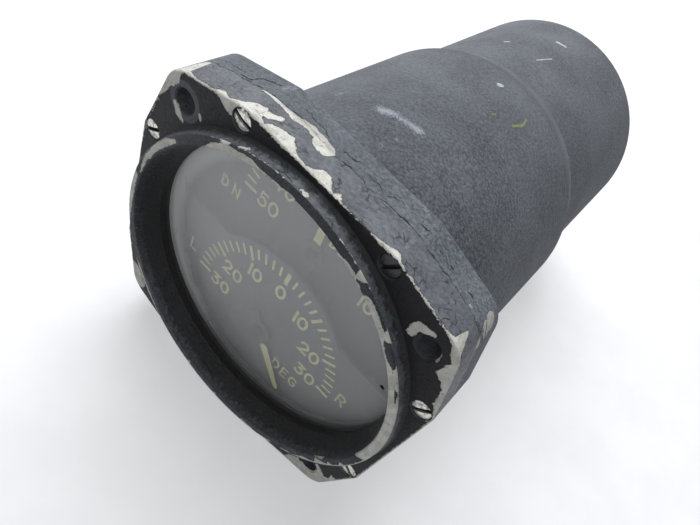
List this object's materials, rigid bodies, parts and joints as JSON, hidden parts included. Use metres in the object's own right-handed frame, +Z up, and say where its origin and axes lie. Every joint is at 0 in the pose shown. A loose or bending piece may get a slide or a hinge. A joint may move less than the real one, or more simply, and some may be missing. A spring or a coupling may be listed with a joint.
{
  "type": "azimuth and elevation indicator",
  "caption": "Round two-pointer panel indicator with a twelve-sided flange, raised bezel ring, glazed dials and a stepped cylindrical case.",
  "frame": {"origin": "on the case axis, in the front face of the flange that seats on the panel", "axes": "+Y runs back along the case, -Y is the way the dial faces, +Z is up on the dial, +X is right as seen from the front"},
  "size_m": [0.0826, 0.1568, 0.0826],
  "materials": {
    "black_enamel": "satin, chipped",
    "case_enamel": "fine wrinkle, worn",
    "dial_paint": "matt",
    "bare_screw": "worn plating",
    "clear_glass": "clear",
    "seal_rubber": "matt",
    "pointer_paint": "matt, luminous bar",
    "turned_brass": "turned",
    "shaft_steel": "ground",
    "plain_aluminium": "machined",
    "core_iron": "varnished laminations",
    "coil_wire": "varnished copper",
    "brown_phenolic": "moulded",
    "sleeve_fabric": "woven",
    "slip_silver": "polished",
    "shell_finish": "olive conversion coat"
  },
  "bodies": {
    "case": {"front_cover": "black_enamel", "front_case": "case_enamel", "rear_case": "case_enamel", "cover_screws": "bare_screw", "front_gasket": "seal_rubber", "window_glass": "clear_glass", "rear_gasket": "seal_rubber", "spacer_ring": "dial_paint", "azimuth_dial": "dial_paint", "elevation_dial": "dial_paint", "dial_posts": "turned_brass", "mounting_plate": "plain_aluminium", "plate_screws": "bare_screw", "movement_clamps": "turned_brass", "clamp_screws": "bare_screw", "rear_posts": "shaft_steel", "rear_screws": "bare_screw", "receptacle_gasket": "seal_rubber", "receptacle_shell": "shell_finish", "receptacle_insert": "brown_phenolic", "receptacle_pins": "turned_brass", "receptacle_screws": "bare_screw", "lead_sleeves": "sleeve_fabric", "azimuth_housing": "plain_aluminium", "azimuth_end_cap": "plain_aluminium", "azimuth_lead_cap": "brown_phenolic", "azimuth_bearings": "shaft_steel", "azimuth_stator": "core_iron", "azimuth_stator_coils": "coil_wire", "azimuth_brushes": "slip_silver", "elevation_housing": "plain_aluminium", "elevation_end_cap": "plain_aluminium", "elevation_lead_cap": "brown_phenolic", "elevation_bearings": "shaft_steel", "elevation_stator": "core_iron", "elevation_stator_coils": "coil_wire", "elevation_brushes": "slip_silver"},
    "azimuth_rotor_group": {"azimuth_rotor": "core_iron", "azimuth_rotor_coils": "coil_wire", "azimuth_shaft": "shaft_steel", "azimuth_hub": "turned_brass", "azimuth_slip_rings": "slip_silver", "azimuth_pointer": "pointer_paint"},
    "elevation_rotor_group": {"elevation_rotor": "core_iron", "elevation_rotor_coils": "coil_wire", "elevation_shaft": "shaft_steel", "elevation_hub": "turned_brass", "elevation_slip_rings": "slip_silver", "elevation_pointer": "pointer_paint"}
  },
  "joints": [
    {"name": "azimuth_turn", "type": "hinge", "parent": "case", "child": "azimuth_rotor_group", "pos_m": [0, 0.01, -0.0189], "axis": [0, 1, 0], "continuous": true},
    {"name": "elevation_turn", "type": "hinge", "parent": "case", "child": "elevation_rotor_group", "pos_m": [0, 0.0153, 0.0102], "axis": [0, 1, 0], "continuous": true}
  ]
}
